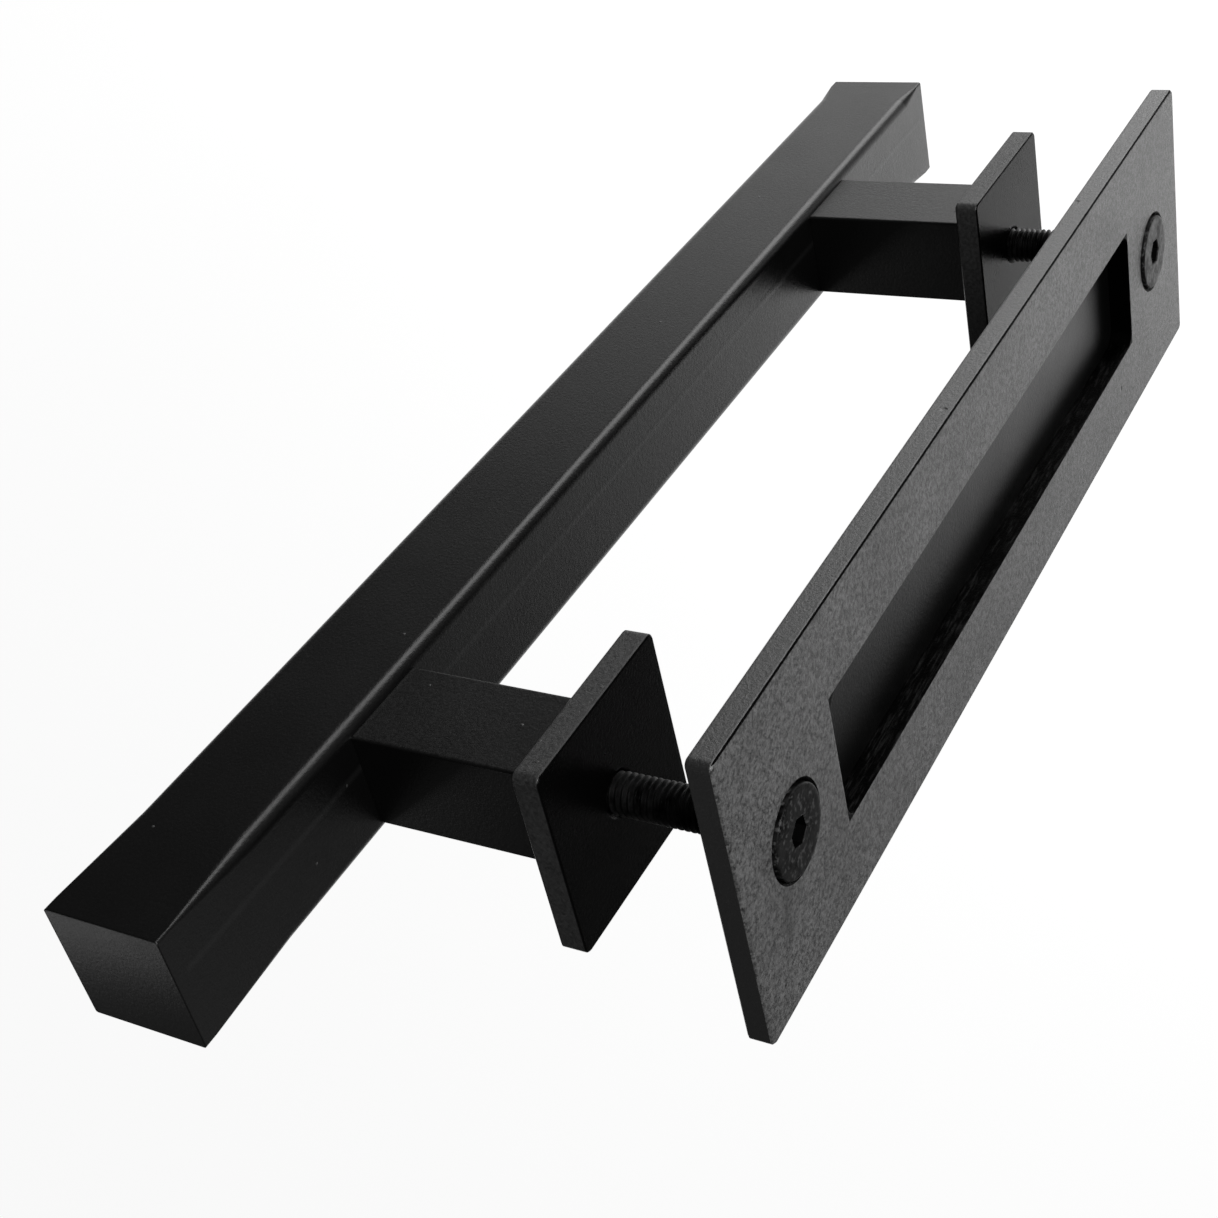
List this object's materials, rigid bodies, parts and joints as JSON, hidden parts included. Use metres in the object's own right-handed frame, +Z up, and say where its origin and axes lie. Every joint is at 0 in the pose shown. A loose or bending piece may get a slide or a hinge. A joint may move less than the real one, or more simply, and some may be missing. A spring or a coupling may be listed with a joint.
{
  "type": "barn door pull handle",
  "caption": "Square-bar barn door pull handle on stand-off posts and base plates, bolted through the door to a flush plate with a finger pocket.",
  "frame": {"origin": "in the plane of the door's face under the base plates, midway between the two screws", "axes": "+Z up along the pull bar, +Y through the door from the bar's side to the flush plate, +X across the handle"},
  "size_m": [0.062, 0.1061, 0.328],
  "materials": {
    "coated_steel": "satin",
    "black_oxide_steel": "satin"
  },
  "bodies": {
    "root": {"pull_bar": "coated_steel", "upper_end_cap": "coated_steel", "lower_end_cap": "coated_steel", "upper_post": "coated_steel", "lower_post": "coated_steel", "upper_base_plate": "coated_steel", "lower_base_plate": "coated_steel", "flush_plate": "coated_steel", "pocket_backing": "coated_steel", "upper_screw": "black_oxide_steel", "lower_screw": "black_oxide_steel"}
  },
  "joints": []
}
